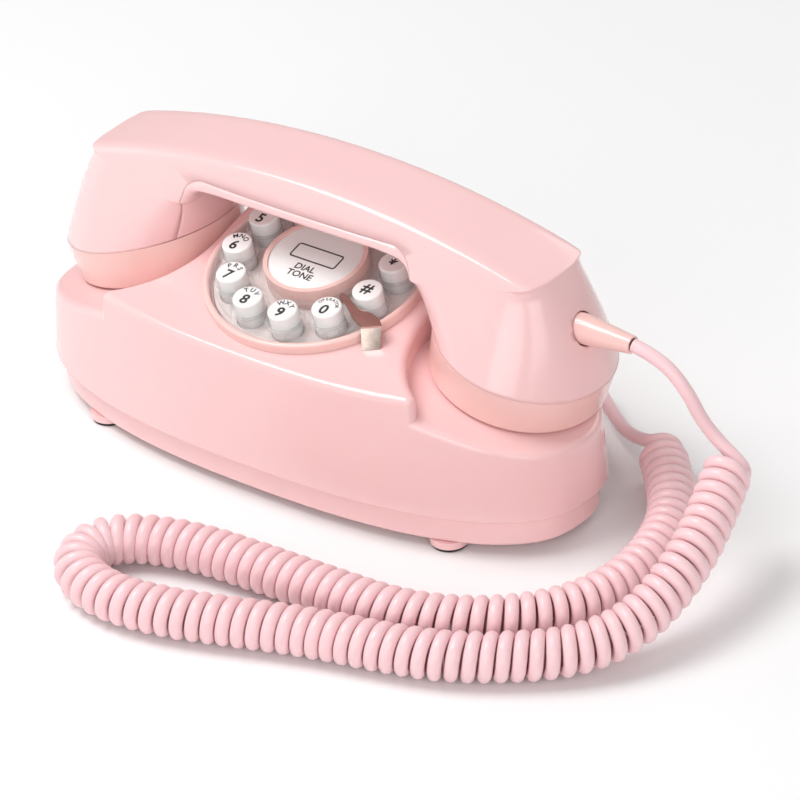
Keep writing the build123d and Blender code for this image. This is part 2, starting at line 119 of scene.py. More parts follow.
def objectNoise(tree, scale, detail=3.0, rough=0.5):
    coords = tree.nodes.new("ShaderNodeTexCoord")
    noise = tree.nodes.new("ShaderNodeTexNoise")
    noise.inputs["Scale"].default_value = scale
    noise.inputs["Detail"].default_value = detail
    noise.inputs["Roughness"].default_value = rough
    tree.links.new(coords.outputs["Object"], noise.inputs["Vector"])
    return noise


def ramp(tree, source, stops):
    node = tree.nodes.new("ShaderNodeValToRGB")
    while len(node.color_ramp.elements) > 1:
        node.color_ramp.elements.remove(node.color_ramp.elements[-1])
    node.color_ramp.elements[0].position = stops[0][0]
    node.color_ramp.elements[0].color = stops[0][1]
    for place, colour in stops[1:]:
        node.color_ramp.elements.new(place).color = colour
    tree.links.new(source, node.inputs["Fac"])
    return node


def spread(tree, source, low, high):
    node = tree.nodes.new("ShaderNodeMapRange")
    node.inputs["To Min"].default_value = low
    node.inputs["To Max"].default_value = high
    tree.links.new(source, node.inputs["Value"])
    return node


def bump(tree, shader, source, strength, distance):
    node = tree.nodes.new("ShaderNodeBump")
    node.inputs["Strength"].default_value = strength
    node.inputs["Distance"].default_value = distance
    tree.links.new(source, node.inputs["Height"])
    tree.links.new(node.outputs["Normal"], shader.inputs["Normal"])


def mouldedPlastic(name, colour, deep, rough=(0.16, 0.24), glow=0.12, grain=0.02, coat=0.3):
    # glossy moulding: faint flow marks in the colour, gloss that varies a little, a very fine skin
    material, tree, shader = newMaterial(name)
    flow = objectNoise(tree, scale=14.0, detail=2.0)
    tone = ramp(tree, flow.outputs["Fac"], [(0.25, (*deep, 1)), (0.75, (*colour, 1))])
    tree.links.new(tone.outputs["Color"], shader.inputs["Base Color"])
    cloud = objectNoise(tree, scale=60.0, detail=4.0)
    gloss = spread(tree, cloud.outputs["Fac"], *rough)
    tree.links.new(gloss.outputs["Result"], shader.inputs["Roughness"])
    skin = objectNoise(tree, scale=900.0, detail=2.0)
    bump(tree, shader, skin.outputs["Fac"], strength=grain, distance=0.0002)
    shader.inputs["Subsurface Weight"].default_value = glow
    shader.inputs["Subsurface Radius"].default_value = (1.0, 0.45, 0.35)
    shader.inputs["Subsurface Scale"].default_value = 0.002
    shader.inputs["Coat Weight"].default_value = coat
    shader.inputs["Coat Roughness"].default_value = 0.06
    shader.inputs["IOR"].default_value = 1.5
    return material


def clearMoulding(name, rough, tint, least, most):
    # thin clear plastic: nearly invisible face on, with a painted reflection: its white base colour turns
    # opaque where it is seen along its surface
    material, tree, shader = newMaterial(name)
    cloud = objectNoise(tree, scale=120.0, detail=2.0)
    bump(tree, shader, cloud.outputs["Fac"], strength=0.04, distance=0.0002)
    wear = objectNoise(tree, scale=400.0, detail=4.0)
    gloss = spread(tree, wear.outputs["Fac"], rough * 0.5, rough * 1.5)
    tree.links.new(gloss.outputs["Result"], shader.inputs["Roughness"])
    # painted reflection: the white base colour grows opaque as the surface turns edge-on, in place of real
    # edge-on gloss
    facing = tree.nodes.new("ShaderNodeLayerWeight")
    facing.inputs["Blend"].default_value = 0.3
    paintedEdgeSheen = spread(tree, facing.outputs["Facing"], least, most)
    tree.links.new(paintedEdgeSheen.outputs["Result"], shader.inputs["Alpha"])
    shader.inputs["Base Color"].default_value = (*tint, 1)
    shader.inputs["Specular IOR Level"].default_value = 1.0
    shader.inputs["Coat Weight"].default_value = 1.0
    shader.inputs["Coat Roughness"].default_value = 0.02
    return material


def metal(name, colour, deep, rough, brushed=40.0, grain=0.05):
    # drawn metal: fine streaks along X over cloudy wear
    material, tree, shader = newMaterial(name)
    coords = tree.nodes.new("ShaderNodeTexCoord")
    stretch = tree.nodes.new("ShaderNodeMapping")
    across = brushed * 30
    stretch.inputs["Scale"].default_value = (brushed, across, across)
    streaks = tree.nodes.new("ShaderNodeTexNoise")
    streaks.inputs["Scale"].default_value = 1.0
    streaks.inputs["Detail"].default_value = 3.0
    tree.links.new(coords.outputs["Object"], stretch.inputs["Vector"])
    tree.links.new(stretch.outputs["Vector"], streaks.inputs["Vector"])
    tone = ramp(tree, streaks.outputs["Fac"], [(0.3, (*deep, 1)), (0.7, (*colour, 1))])
    tree.links.new(tone.outputs["Color"], shader.inputs["Base Color"])
    wear = objectNoise(tree, scale=150.0, detail=4.0)
    gloss = spread(tree, wear.outputs["Fac"], *rough)
    tree.links.new(gloss.outputs["Result"], shader.inputs["Roughness"])
    bump(tree, shader, streaks.outputs["Fac"], strength=grain, distance=0.0001)
    shader.inputs["Metallic"].default_value = 1.0
    return material


def dull(name, colour, deep, rough=(0.55, 0.75), scale=300.0, grain=0.2):
    # paper, ink, rubber and rough mouldings: mottled, with a fine tooth
    material, tree, shader = newMaterial(name)
    mottle = objectNoise(tree, scale * 0.2, 5.0)
    tone = ramp(tree, mottle.outputs["Fac"], [(0.3, (*deep, 1)), (0.7, (*colour, 1))])
    tree.links.new(tone.outputs["Color"], shader.inputs["Base Color"])
    tooth = objectNoise(tree, scale * 3, 3.0)
    gloss = spread(tree, tooth.outputs["Fac"], *rough)
    tree.links.new(gloss.outputs["Result"], shader.inputs["Roughness"])
    bump(tree, shader, tooth.outputs["Fac"], strength=grain, distance=0.0002)
    return material


pink = mouldedPlastic("pinkMoulding", (0.925, 0.60, 0.60), (0.91, 0.58, 0.58))
capPink = mouldedPlastic("capMoulding", (0.915, 0.595, 0.555), (0.90, 0.575, 0.535))
dialPink = mouldedPlastic("dialMoulding", (0.90, 0.60, 0.56), (0.885, 0.58, 0.54), rough=(0.22, 0.3))
underPink = mouldedPlastic("underPlateMoulding", (0.86, 0.74, 0.71), (0.84, 0.715, 0.685),
                           rough=(0.3, 0.4), glow=0.05)
white = mouldedPlastic("keyWhite", (0.90, 0.895, 0.885), (0.87, 0.865, 0.855), rough=(0.14, 0.2), glow=0.1)
cordPink = mouldedPlastic("cordVinyl", (0.92, 0.63, 0.655), (0.90, 0.605, 0.63),
                          rough=(0.28, 0.36), glow=0.15, grain=0.05, coat=0.1)
clear = clearMoulding("clearMoulding", rough=0.04, tint=(0.99, 0.97, 0.965), least=0.02, most=0.42)
windowClear = clearMoulding("cardWindowMoulding", rough=0.05, tint=(0.95, 0.94, 0.94), least=0.0, most=0.10)
card = dull("cardPaper", (0.93, 0.925, 0.91), (0.90, 0.895, 0.88), rough=(0.6, 0.75), grain=0.08)
ink = dull("printInk", (0.022, 0.022, 0.024), (0.012, 0.012, 0.013), rough=(0.4, 0.5), scale=500.0, grain=0.05)
rubber = dull("padRubber", (0.03, 0.03, 0.03), (0.018, 0.018, 0.018), rough=(0.6, 0.8), scale=350.0, grain=0.3)
membrane = dull("membraneRubber", (0.34, 0.34, 0.33), (0.28, 0.28, 0.275), rough=(0.5, 0.65), grain=0.15)
innerPlastic = dull("innerPlastic", (0.06, 0.06, 0.065), (0.045, 0.045, 0.05),
                    rough=(0.35, 0.5), scale=260.0, grain=0.12)
board = dull("circuitBoard", (0.04, 0.20, 0.09), (0.025, 0.14, 0.06), rough=(0.25, 0.4), scale=700.0, grain=0.1)
iron = dull("castIron", (0.16, 0.155, 0.15), (0.08, 0.078, 0.075), rough=(0.5, 0.7), scale=220.0, grain=0.4)
polished = metal("polishedSteel", (0.56, 0.455, 0.40), (0.50, 0.40, 0.35), (0.07, 0.12),
                 brushed=25.0, grain=0.006)
screwSteel = metal("screwSteel", (0.62, 0.61, 0.60), (0.48, 0.475, 0.47), (0.25, 0.4))
aluminium = metal("capsuleMetal", (0.75, 0.75, 0.76), (0.64, 0.64, 0.65), (0.3, 0.42))
print("materials made")


camera = {
    "azimuth": 37.12, "elevation": 31.98, "roll": -2.51, "distance": 1.5,
    "target": (0.04799, 0.0, 0.0321), "lens": 206.37, "shift": (-0.0498, -0.0016),
    "sensor": 36, "nearest": 0.05, "farthest": 20,
}


def addCamera():
    turn, rise, roll = (math.radians(camera[k]) for k in ("azimuth", "elevation", "roll"))
    back = Vector((math.sin(turn) * math.cos(rise), -math.cos(turn) * math.cos(rise), math.sin(rise)))
    right = Vector((math.cos(turn), math.sin(turn), 0))
    up = back.cross(right)
    rolledRight = right * math.cos(roll) + up * math.sin(roll)
    rolledUp = up * math.cos(roll) - right * math.sin(roll)
    data = bpy.data.cameras.new("camera")
    data.lens = camera["lens"]
    data.sensor_width = camera["sensor"]
    data.shift_x, data.shift_y = camera["shift"]
    data.clip_start = camera["nearest"]
    data.clip_end = camera["farthest"]
    obj = linked("camera", data)
    turned = Matrix((rolledRight, rolledUp, back)).transposed().to_4x4()
    obj.matrix_world = Matrix.Translation(Vector(camera["target"]) + back * camera["distance"]) @ turned
    bpy.context.scene.camera = obj


addCamera()

lamps = {  # place, what it faces, width, height, power
    "top": ((-0.42, -0.32, 1.15), (0, 0, 0), 0.7, 0.6, 10.2),
    "front": ((0.5, -1.4, 0.7), (0, 0, 0.03), 0.9, 0.9, 6.0),
    "left": ((-1.3, -0.4, 0.6), (0, 0, 0.03), 0.8, 0.8, 2.0),
    "right": ((1.3, -0.75, 0.65), (0.05, 0, 0.04), 0.7, 0.9, 4.2),
    "back": ((0.2, 1.2, 0.9), (0, 0, 0.05), 1.0, 0.5, 2.8),
}
worldLight = 0.35
floorSize = 8


def addLight():
    world = bpy.data.worlds.new("studio")
    bpy.context.scene.world = world
    world.use_nodes = True
    world.node_tree.nodes["Background"].inputs["Color"].default_value = (1, 1, 1, 1)
    world.node_tree.nodes["Background"].inputs["Strength"].default_value = worldLight
    bpy.context.scene.view_settings.view_transform = "Standard"
    for name, (place, aim, width, height, power) in lamps.items():
        data = bpy.data.lights.new(name, "AREA")
        data.shape = "RECTANGLE"
        data.size = width
        data.size_y = height
        data.energy = power
        obj = linked(name, data)
        obj.location = place
        obj.rotation_euler = (Vector(place) - Vector(aim)).to_track_quat("Z", "Y").to_euler()


addLight()


def addFloor():
    material, _, shader = newMaterial("floorWhite")
    shader.inputs["Base Color"].default_value = (0.93, 0.93, 0.93, 1)
    shader.inputs["Roughness"].default_value = 0.6
    bpy.ops.mesh.primitive_plane_add(size=floorSize)
    floor = bpy.context.object
    floor.name = "floor"
    floor.data.materials.append(material)


addFloor()
print("camera, lights and floor set")


cord = {
    "wire": 4.6 * mm, "outer": 16.6 * mm, "pitch": 5.0 * mm, "ringFaces": 12, "stepsPerTurn": 28,
    "axisDetail": 24, "axisStep": 0.25 * mm, "leadDetail": 14, "lineStep": 0.28,  # the last in wires
    "sharp": 60, "stretch": (0.018, 0.062),
    "joinSteps": 21, "joinSkip": 4,  # how far each lead runs into the turns, and every how many steps
    "firstTurn": -45, "lastPart": 0.125,  # so that the turns start and end beside the two leads
    "lead": [  # from the boot to the first turn
        (118.7, 9.2, 70.9), (129.5, 9.3, 69), (138.5, 9.8, 60), (142.5, 11.5, 50), (148.5, 13.2, 42.3),
    ],
    "coil": [  # the axis of the turns
        (153.5, 11, 37.2), (158.5, -6, 31), (161.5, -24, 24.5), (160.8, -40, 17.5), (156.5, -55, 12),
        (146, -69, 9), (131, -81, 8.6), (114, -91.5, 8.6), (95, -97.5, 8.6), (72, -103, 8.6),
        (48, -111.5, 8.6), (26, -119.5, 8.6), (4, -122.5, 8.6), (-13.5, -116.5, 8.6), (-18.5, -102.5, 8.6),
        (-9.5, -91.5, 8.6), (10, -85, 8.6), (35, -83, 8.6), (62, -82, 8.6), (88, -80.5, 8.6),
        (108, -73, 8.6), (124, -61, 8.6), (135, -45, 8.6), (139, -26, 8.6), (137.5, -7, 8.6),
        (131, 12, 8.6), (119, 29, 8.6), (106, 43, 8.6),
    ],
    "plugLead": [  # from the last turn back to the plug
        (90, 46.8, 8), (80, 54, 7.5), (69.5, 61.5, 9), (60, 65.5, 14.5),
        (54.3, 58.5, 19.8), (54, 50.05, 20),
    ],
}


def splineLine(points, resolution):
    # points along the smooth NURBS line that these are the control points of
    data = bpy.data.curves.new("route", "CURVE")
    data.dimensions = "3D"
    data.resolution_u = resolution
    spline = data.splines.new("NURBS")
    spline.points.add(len(points) - 1)
    for place, point in zip(points, spline.points):
        point.co = (*place, 1)
    spline.order_u = 3
    spline.use_endpoint_u = True
    obj = linked("route", data)
    mesh = evaluatedMesh(obj)
    line = [v.co.copy() for v in mesh.vertices]
    bpy.data.meshes.remove(mesh)
    bpy.data.objects.remove(obj)
    bpy.data.curves.remove(data)
    return line


def evenly(line, step):
    # the same line with points a step apart
    total = sum((b - a).length for a, b in zip(line, line[1:]))
    count = max(2, round(total / step))
    gap = total / count
    out = [line[0].copy()]
    need = gap
    for a, b in zip(line, line[1:]):
        run = (b - a).length
        done = 0.0
        while run - done >= need and len(out) < count:
            done += need
            out.append(a.lerp(b, done / run))
            need = gap
        need -= run - done
    out.append(line[-1].copy())
    return out


def carried(line):
    # a tangent and two directions across the line at each of its points, carried along without twist
    tangents = []
    for i in range(len(line)):
        tangents.append((line[min(i + 1, len(line) - 1)] - line[max(i - 1, 0)]).normalized())
    across = Vector((0, 0, 1)) - tangents[0] * tangents[0].z
    across.normalize()
    frames = []
    for tangent in tangents:
        across = (across - tangent * across.dot(tangent)).normalized()
        frames.append((tangent, across, tangent.cross(across)))
    return frames


def tubeMesh(name, line, radius, sides, material):
    frames = carried(line)
    verts, faces = [], []
    for point, (_, a, b) in zip(line, frames):
        for k in range(sides):
            turn = 2 * math.pi * k / sides
            verts.append(point + a * (radius * math.cos(turn)) + b * (radius * math.sin(turn)))
    for i in range(len(line) - 1):
        for k in range(sides):
            n = (k + 1) % sides
            faces.append((i * sides + k, i * sides + n, (i + 1) * sides + n, (i + 1) * sides + k))
    faces.append(tuple(reversed(range(sides))))
    faces.append(tuple((len(line) - 1) * sides + k for k in range(sides)))
    return meshFrom(name, verts, faces, material, cord["sharp"])


def inMetres(points):
    return [Vector(p) * mm for p in points]


def lengthOf(line):
    return sum((b - a).length for a, b in zip(line, line[1:]))


def coilPoints():
    # the wire's own line: turns round the coil's axis, wound close
    axis = evenly(splineLine(inMetres(cord["coil"]), cord["axisDetail"]), cord["axisStep"])
    frames = carried(axis)
    total = lengthOf(axis)
    radius = (cord["outer"] - cord["wire"]) / 2
    turns = round(total / cord["pitch"]) + cord["lastPart"]
    count = round(turns * cord["stepsPerTurn"])
    points = []
    for i in range(count + 1):
        part = i / count
        place = part * (len(axis) - 1)
        low = min(int(place), len(axis) - 2)
        centre = axis[low].lerp(axis[low + 1], place - low)
        _, a, b = frames[low]
        turn = math.radians(cord["firstTurn"]) - 2 * math.pi * turns * part
        points.append(centre + a * (radius * math.cos(turn)) + b * (radius * math.sin(turn)))
    return points


def addCord():
    turns = coilPoints()
    join, skip, detail = cord["joinSteps"], cord["joinSkip"], cord["leadDetail"]
    lead = splineLine(inMetres(cord["lead"]) + turns[skip:join:skip], detail)
    tail = splineLine(turns[-join + skip - 1:-skip + 1:skip] + inMetres(cord["plugLead"]), detail)
    line = lead + turns[join:-join + skip - 1] + tail[1:]
    line = evenly(line, cord["wire"] * cord["lineStep"])
    obj = tubeMesh("curlyCord", line, cord["wire"] / 2, cord["ringFaces"], cordPink)
    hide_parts("handset_lead", "cord_coil", "plug_lead")
    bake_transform(obj)
    print("cord:", round(lengthOf(line), 3), "m,", len(obj.data.polygons), "faces")


addCord()


handset = {  # millimetres, in the plane of the handle, and the right half of it
    "y": 9.2, "archTop": 102.0, "archRadius": 326.0, "topHalf": 15.65, "sideSlope": 0.4455,
    "corner": (91.1, 89.1), "endSeam": (106.4, 51.0), "endBulge": 1.5, "cornerRound": 2.2,
    "underside": 88.0, "wallTop": 44.2, "innerSeam": (47.2, 67.05), "bend": 9.0, "wall": 2.3,
    "handleRings": 14, "fanRings": 40, "legRings": 44, "upperFaces": 30, "lowerFaces": 16,
    "squareOut": 9.0, "squareCorner": 10.0, "squareIn": 6.0, "squareInMost": 8.0,
    "parting": ((-1.0, 92.3), (43.9, 92.3), (53.0, 64.8)), "partingRound": 7.5, "groove": 0.14,
    "softReach": 9.0, "softFall": 1.6, "softSteps": 60,
    "handleEnd": 31.0, "fanEnd": 47.0, "handleEndAbove": 38.0,  # along the inner outline, and along the arch
    "fanLead": 1.5, "legSquaring": 0.62, "legSpacing": 1.7,
    "endSteps": 24, "endJoin": 4, "roundSteps": 16, "partingSteps": 24,
    "bootHole": {"x": 100, "z": 70.9, "radius": 5.45, "length": 24},
    "screwHoles": {"x": 30, "z": 88, "radius": 2.8, "length": 3.9}, "holeFaces": 64,
}


def archHeight(x):
    r = handset["archRadius"]
    return handset["archTop"] - r + math.sqrt(r * r - x ** 2)


def sideHalf(x, z):
    # how far the sloping side stands from the handset's middle plane
    return handset["topHalf"] + handset["sideSlope"] * (archHeight(x) - z)


def roundCorner(before, at, after, radius, steps):
    # the arc that rounds one corner of a flat path
    inWay, outWay = (before - at).normalized(), (after - at).normalized()
    half = inWay.angle(outWay) / 2
    centre = at + (inWay + outWay).normalized() * (radius / math.sin(half))
    first = at + inWay * (radius / math.tan(half)) - centre
    last = at + outWay * (radius / math.tan(half)) - centre
    whole = first.angle(last)
    arc = []
    for i in range(steps + 1):
        t = i / steps
        arc.append(centre + (first * math.sin((1 - t) * whole) + last * math.sin(t * whole)) / math.sin(whole))
    return arc


def alongPath(path, part):
    # the point that far along a flat path, from 0 to 1
    runs = [(b - a).length for a, b in zip(path, path[1:])]
    want = part * sum(runs)
    for a, b, run in zip(path, path[1:], runs):
        if want <= run and run > 0:
            return a.lerp(b, want / run)
        want -= run
    return path[-1].copy()


def handsetOutlines():
    # the outer outline as arch and end, and the inner one from the underside down the leg
    corner, endSeam = Vector(handset["corner"]), Vector(handset["endSeam"])
    arch = [Vector((x, archHeight(x))) for x in range(0, int(corner.x))]
    way = endSeam - corner
    out = Vector((-way.y, way.x)).normalized()
    if out.x < 0:
        out.negate()
    end = []
    for i in range(1, handset["endSteps"] + 1):
        t = i / handset["endSteps"]
        end.append(corner + way * t + out * (handset["endBulge"] * math.sin(math.pi * t)))
    steps = handset["roundSteps"]
    rounding = roundCorner(arch[-1], corner, end[handset["endJoin"]], handset["cornerRound"], steps)
    arch += rounding[:steps // 2 + 1]
    end = rounding[steps // 2:] + end[1:]
    turn = Vector((handset["wallTop"], handset["underside"]))
    start, seam = Vector((0, handset["underside"])), Vector(handset["innerSeam"])
    inner = [start] + roundCorner(start, turn, seam, handset["bend"], steps) + [seam]
    return arch, end, inner


def partingShare(inner, outer, line):
    # how far from the inner point to the outer one the two mouldings part
    way = outer - inner
    for a, b in zip(line, line[1:]):
        step = b - a
        cross = way.x * step.y - way.y * step.x
        if abs(cross) < 1e-9:
            continue
        gapX, gapY = a.x - inner.x, a.y - inner.y
        share = (gapX * step.y - gapY * step.x) / cross
        along = (gapX * way.y - gapY * way.x) / cross
        if 0 <= along <= 1 and 0 < share < 0.5:
            return share
    raise ValueError("a section misses the parting line")


def handsetSections():
    # inner point, outer point, squareness inside and outside, and where the two mouldings part
    arch, end, inner = handsetOutlines()
    runs = [(b - a).length for a, b in zip(inner, inner[1:])]
    archLength = sum((b - a).length for a, b in zip(arch, arch[1:]))
    handlePart, cornerPart = handset["handleEnd"] / sum(runs), handset["fanEnd"] / sum(runs)
    handleOut = handset["handleEndAbove"] / archLength
    first, turn, last = (Vector(p) for p in handset["parting"])
    line = [first] + roundCorner(first, turn, last, handset["partingRound"], handset["partingSteps"]) + [last]
    sections = []
    for i in range(handset["handleRings"]):
        t = i / handset["handleRings"]
        sections.append((alongPath(inner, handlePart * t), alongPath(arch, handleOut * t),
                         handset["squareIn"], handset["squareOut"]))
    for i in range(handset["fanRings"]):
        t = i / handset["fanRings"]
        reach = mix(handleOut, 1.0, mix(t, 1 - (1 - t) ** 2, smooth(t * handset["fanLead"])))
        sections.append((alongPath(inner, mix(handlePart, cornerPart, t)), alongPath(arch, reach),
                         mix(handset["squareIn"], handset["squareInMost"], t),
                         mix(handset["squareOut"], handset["squareCorner"], smooth(t))))
    for i in range(handset["legRings"] + 1):
        t = i / handset["legRings"]
        flat = 1 / handset["squareCorner"]
        square = 1 / (flat + (0.5 - flat) * t ** handset["legSquaring"])
        sections.append((alongPath(inner, mix(cornerPart, 1.0, t)), alongPath(end, t ** handset["legSpacing"]),
                         min(square, handset["squareInMost"]), square))
    return [(*section, partingShare(section[0], section[1], line)) for section in sections]


def ringPoint(section, turn, side, mirrored):
    # one point of a squarish ring across the handset; turn 0 is outside and pi is inside
    inner, outer, squareIn, squareOut, _ = section
    c = math.cos(turn)
    power = 2 / (squareOut if c >= 0 else squareIn)
    across = (1 + math.copysign(abs(c) ** power, c)) / 2
    spot = inner.lerp(outer, across)
    half = sideHalf(spot.x, spot.y) * abs(math.sin(turn)) ** power
    return Vector((mirrored * spot.x, handset["y"] + side * half, spot.y)) * mm


def partingTurn(section, shift):
    inner, outer, squareIn, _, share = section
    share += shift / (outer - inner).length
    return math.acos(-(1 - 2 * share) ** (squareIn / 2))


def stripMesh(name, rings, material, upwards):
    # a strip through the rings, facing up or down at its middle
    width = len(rings[0])
    verts = [point for ring in rings for point in ring]
    faces = []
    for i in range(len(rings) - 1):
        for k in range(width - 1):
            faces.append((i * width + k, i * width + k + 1, (i + 1) * width + k + 1, (i + 1) * width + k))
    mesh = bpy.data.meshes.new(name)
    mesh.from_pydata([tuple(v) for v in verts], [], faces)
    obj = linked(name, mesh)
    mesh.materials.append(material)
    middle = mesh.polygons[(len(rings) // 2) * (width - 1) + (width - 1) // 2]
    if (middle.normal.z > 0) != upwards:
        mesh.flip_normals()
    mesh.polygons.foreach_set("use_smooth", [True] * len(mesh.polygons))
    return obj


def softenCorners(obj):
    # rounds off the four top corners, where the sections crowd together
    group = obj.vertex_groups.new(name="corners")
    x, z = handset["corner"]
    spots = [Vector((i * x, handset["y"] + j * handset["topHalf"], z)) * mm for i in (-1, 1) for j in (-1, 1)]
    for vertex in obj.data.vertices:
        near = min((vertex.co - spot).length for spot in spots) / (handset["softReach"] * mm)
        if near < 1:
            group.add([vertex.index], smooth(handset["softFall"] * (1 - near)), "REPLACE")
    soft = obj.modifiers.new("soft", "SMOOTH")
    soft.factor = 0.5
    soft.iterations = handset["softSteps"]
    soft.vertex_group = "corners"
    applied(obj)
    obj.vertex_groups.clear()
    return obj


def thicken(obj, wall):
    solid = obj.modifiers.new("wall", "SOLIDIFY")
    solid.thickness = wall
    solid.offset = -1
    solid.use_rim = True
    return applied(obj)


def cutRound(obj, hole, side, axis):
    # drills a round hole along an axis, on one side of the handset's middle
    bpy.ops.mesh.primitive_cylinder_add(
        vertices=handset["holeFaces"], radius=hole["radius"] * mm, depth=hole["length"] * mm)
    drill = bpy.context.object
    place = Vector((side * hole["x"], handset["y"], hole["z"])) * mm
    turned = Vector(axis).to_track_quat("Z", "Y").to_matrix().to_4x4()
    drill.data.transform(Matrix.Translation(place) @ turned)
    drill.location = (0, 0, 0)
    cut = obj.modifiers.new("drill", "BOOLEAN")
    cut.object = drill
    cut.operation = "DIFFERENCE"
    cut.solver = "EXACT"
    applied(obj)
    old = drill.data
    bpy.data.objects.remove(drill)
    bpy.data.meshes.remove(old)


def addHandset():
    right = handsetSections()
    order = [(section, -1) for section in reversed(right[1:])] + [(section, 1) for section in right]
    shellRings, coverRings = [], []
    for section, mirrored in order:
        part = partingTurn(section, handset["groove"] / 2)
        count = handset["upperFaces"]
        ring = [ringPoint(section, part * (count - k) / count, 1, mirrored) for k in range(count + 1)]
        ring += [ringPoint(section, part * k / count, -1, mirrored) for k in range(1, count + 1)]
        shellRings.append(ring)
        part = partingTurn(section, -handset["groove"] / 2)
        count = handset["lowerFaces"]
        ring = [ringPoint(section, mix(part, math.pi, k / count), 1, mirrored) for k in range(count + 1)]
        ring += [ringPoint(section, mix(math.pi, part, k / count), -1, mirrored) for k in range(1, count + 1)]
        coverRings.append(ring)
    shell = softenCorners(stripMesh("handsetShell", shellRings, pink, True))
    thicken(shell, handset["wall"] * mm)
    cover = thicken(stripMesh("gripCover", coverRings, pink, False), handset["wall"] * mm)
    cutRound(shell, handset["bootHole"], 1, (1, 0, 0))
    for side in (-1, 1):
        cutRound(cover, handset["screwHoles"], side, (0, 0, 1))
    for obj, node in ((shell, "handset_shell"), (cover, "handset_grip_cover")):
        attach(obj, "handset")
        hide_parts(node)
    print("handset:", len(shell.data.polygons), "and", len(cover.data.polygons), "faces")


addHandset()

dial = {  # millimetres
    "place": (0, 0.2, 68.0), "tilt": 13.2, "keyCircle": 28.2, "firstKey": 43.7, "keyTop": 5.5,
    "cardTop": 3.2, "print": 0.03, "wellTop": 0.8, "wellRadius": 6.15, "wellRound": 0.65,
    "letters": {"1": "", "2": "ABC", "3": "DEF", "4": "GHI", "5": "JKL", "6": "MNO", "7": "PRS",
                "8": "TUV", "9": "WXY", "0": "OPERATOR", "hash": "", "star": ""},
    "signs": {"hash": "#", "star": "*"},
    "keyStep": 30, "signSize": 6.3, "digitSize": 5.7, "digitDrop": 1.35, "boldness": 0.024,
    "shortWord": {"step": 42, "size": 2.55, "reach": 3.2}, "longWord": {"step": 20, "size": 1.6, "reach": 3.55},
    "caption": (("DIAL", -5.9), ("TONE", -9.3)), "captionSize": 3.7,
    "frameHalf": (8.1, 2.25), "frameMiddle": 0.57, "frameRound": 1.2, "frameLine": 0.62, "frameSteps": 6,
    "frameLift": 0.001, "rimFaces": 56, "rimProfileFaces": 12,
}
lean = math.radians(dial["tilt"])
dialFrame = Matrix((
    (1, 0, 0, 0),
    (0, math.cos(lean), -math.sin(lean), dial["place"][1] * mm),
    (0, math.sin(lean), math.cos(lean), dial["place"][2] * mm),
    (0, 0, 0, 1),
))


def glyphs(text, size, centre, turn, work):
    # adds one raised word to a bmesh, in millimetres on the dial, its middle at the centre
    data = bpy.data.curves.new("word", "FONT")
    data.body = text
    data.size = size * mm
    data.align_x = "CENTER"
    data.align_y = "CENTER"
    data.extrude = dial["print"] * mm / 2
    data.offset = size * mm * dial["boldness"]
    data.resolution_u = 4
    obj = linked("word", data)
    mesh = evaluatedMesh(obj)
    low = Vector([min(v.co[k] for v in mesh.vertices) for k in range(3)])
    high = Vector([max(v.co[k] for v in mesh.vertices) for k in range(3)])
    mesh.transform(Matrix.Translation(-(low + high) / 2))
    mesh.transform(dialFrame @ Matrix.Translation(Vector(centre) * mm) @ Matrix.Rotation(turn, 4, "Z"))
    work.from_mesh(mesh)
    bpy.data.objects.remove(obj)
    bpy.data.curves.remove(data)
    bpy.data.meshes.remove(mesh)


def printed(name, work, body):
    # turns collected print into one piece that rides on a body
    mesh = bpy.data.meshes.new(name)
    bmesh.ops.remove_doubles(work, verts=work.verts, dist=printWeldGap)
    bmesh.ops.recalc_face_normals(work, faces=work.faces)
    work.to_mesh(mesh)
    work.free()
    mesh.materials.append(ink)
    obj = linked(name, mesh)
    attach(obj, body)
    return obj


def addLegends():
    height = dial["keyTop"] + dial["print"] / 2
    for i, (key, letters) in enumerate(dial["letters"].items()):
        turn = math.radians(dial["firstKey"] + dial["keyStep"] * i)
        x, y = dial["keyCircle"] * math.cos(turn), dial["keyCircle"] * math.sin(turn)
        work = bmesh.new()
        sign = dial["signs"].get(key, key)
        size = dial["signSize"] if key in dial["signs"] else dial["digitSize"]
        drop = dial["digitDrop"] if letters else 0.0
        glyphs(sign, size, (x, y - drop, height), 0, work)
        style = dial["longWord"] if len(letters) > 3 else dial["shortWord"]
        for k, letter in enumerate(letters):
            lie = ((len(letters) - 1) / 2 - k) * math.radians(style["step"])
            spot = (x - style["reach"] * math.sin(lie), y + style["reach"] * math.cos(lie), height)
            glyphs(letter, style["size"], spot, lie, work)
        printed("legend_" + key, work, "key_" + key)


def addCardPrint():
    # the rounded frame where a number is written, and the caption under it
    height = dial["cardTop"] + dial["print"] / 2
    work = bmesh.new()
    for line, y in dial["caption"]:
        glyphs(line, dial["captionSize"], (0, y, height), 0, work)
    halfX, halfY = dial["frameHalf"]
    rings = []
    for inset in (0.0, dial["frameLine"]):
        ring = []
        radius = dial["frameRound"] - inset
        for cornerX, cornerY, first in ((1, 1, 0), (-1, 1, 90), (-1, -1, 180), (1, -1, 270)):
            for k in range(dial["frameSteps"] + 1):
                turn = math.radians(first + 90 / dial["frameSteps"] * k)
                x = cornerX * halfX + radius * math.cos(turn)
                y = dial["frameMiddle"] + cornerY * halfY + radius * math.sin(turn)
                ring.append((x, y))
        rings.append(ring)
    count = len(rings[0])
    levels = []
    for w in (dial["cardTop"] + dial["frameLift"], dial["cardTop"] + dial["print"]):
        for ring in rings:
            levels.append([work.verts.new(dialFrame @ (Vector((x, y, w)) * mm)) for x, y in ring])
    for k in range(count):
        n = (k + 1) % count
        for a, b in ((0, 1), (1, 3), (3, 2), (2, 0)):
            work.faces.new((levels[a][k], levels[a][n], levels[b][n], levels[b][k]))
    obj = printed("cardPrint", work, "base")


